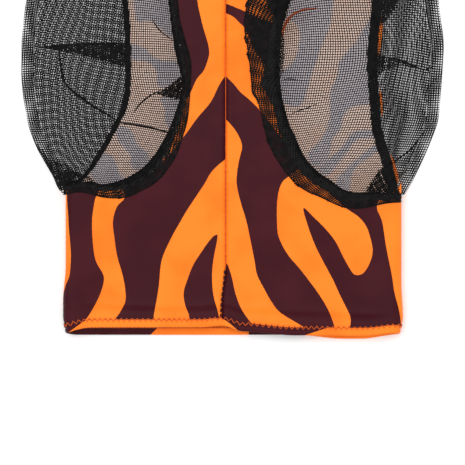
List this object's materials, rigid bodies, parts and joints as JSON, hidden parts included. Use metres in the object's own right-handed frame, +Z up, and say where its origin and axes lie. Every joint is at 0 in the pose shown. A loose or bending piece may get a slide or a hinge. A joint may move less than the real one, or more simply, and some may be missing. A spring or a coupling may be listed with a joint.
{
  "type": "horse fly mask",
  "caption": "Stretch cloth fly mask for a horse with net eye bubbles, ear pockets and an under-jaw zip, laid flat face-up.",
  "frame": {"origin": "middle of the mask's footprint on the surface it lies on", "axes": "+X across the mask to the right as seen from above, +Y from the nose hem to the ear tips, +Z up from the surface, out of the face side"},
  "size_m": [0.312, 0.6018, 0.0386],
  "materials": {
    "print_cloth": "smooth stretch knit printed with dark burgundy stripes on orange",
    "thread": "dark overlock thread",
    "binding": "dark burgundy knit binding",
    "net": "open black net, about 1.8 mm pitch",
    "net_band": "gathered black net over cloth",
    "zip_tape": "woven black tape",
    "zip_coil": "nylon coil",
    "zip_metal": "plated zinc"
  },
  "bodies": {
    "mask": {"face_panel_left": "print_cloth", "face_panel_right": "print_cloth", "jaw_panel_left": "print_cloth", "jaw_panel_right": "print_cloth", "nose_side_left": "print_cloth", "nose_side_right": "print_cloth", "poll_side_left": "print_cloth", "poll_side_right": "print_cloth", "nose_hem": "print_cloth", "hem_stitching": "thread", "poll_hem": "binding", "throat_hem_left": "binding", "throat_hem_right": "binding", "face_seam": "print_cloth", "jaw_seam": "print_cloth", "eye_mesh_left": "net", "eye_mesh_right": "net", "eye_band_left_front": "net_band", "eye_band_right_front": "net_band", "eye_band_left_rear": "net_band", "eye_band_right_rear": "net_band", "ear_collar_left": "binding", "ear_collar_right": "binding", "zip_tape_left": "zip_tape", "zip_tape_right": "zip_tape", "zip_chain_left": "zip_coil", "zip_chain_right": "zip_coil", "zip_top_stops": "zip_metal", "zip_bottom_stop": "zip_metal"},
    "ear_left": {"ear_left_front": "print_cloth", "ear_left_back": "print_cloth", "ear_left_binding": "binding"},
    "ear_right": {"ear_right_front": "print_cloth", "ear_right_back": "print_cloth", "ear_right_binding": "binding"},
    "zip_slider": {"zip_slider": "zip_metal"},
    "zip_pull": {"zip_pull": "zip_metal"}
  },
  "joints": [
    {"name": "ear_left_fold", "type": "hinge", "parent": "mask", "child": "ear_left", "pos_m": [-0.067, 0.12007, 0.031], "axis": [1, 0, 0], "range_deg": [0, 150]},
    {"name": "ear_right_fold", "type": "hinge", "parent": "mask", "child": "ear_right", "pos_m": [0.057, 0.12007, 0.031], "axis": [1, 0, 0], "range_deg": [0, 150]},
    {"name": "zip_slide", "type": "slide", "parent": "mask", "child": "zip_slider", "axis": [0, -1, 0], "range_m": [0, 0.305]},
    {"name": "zip_pull_swing", "type": "hinge", "parent": "zip_slider", "child": "zip_pull", "pos_m": [0.012, 0.08667, 0.0019], "axis": [1, 0, 0], "range_deg": [0, 170]}
  ]
}
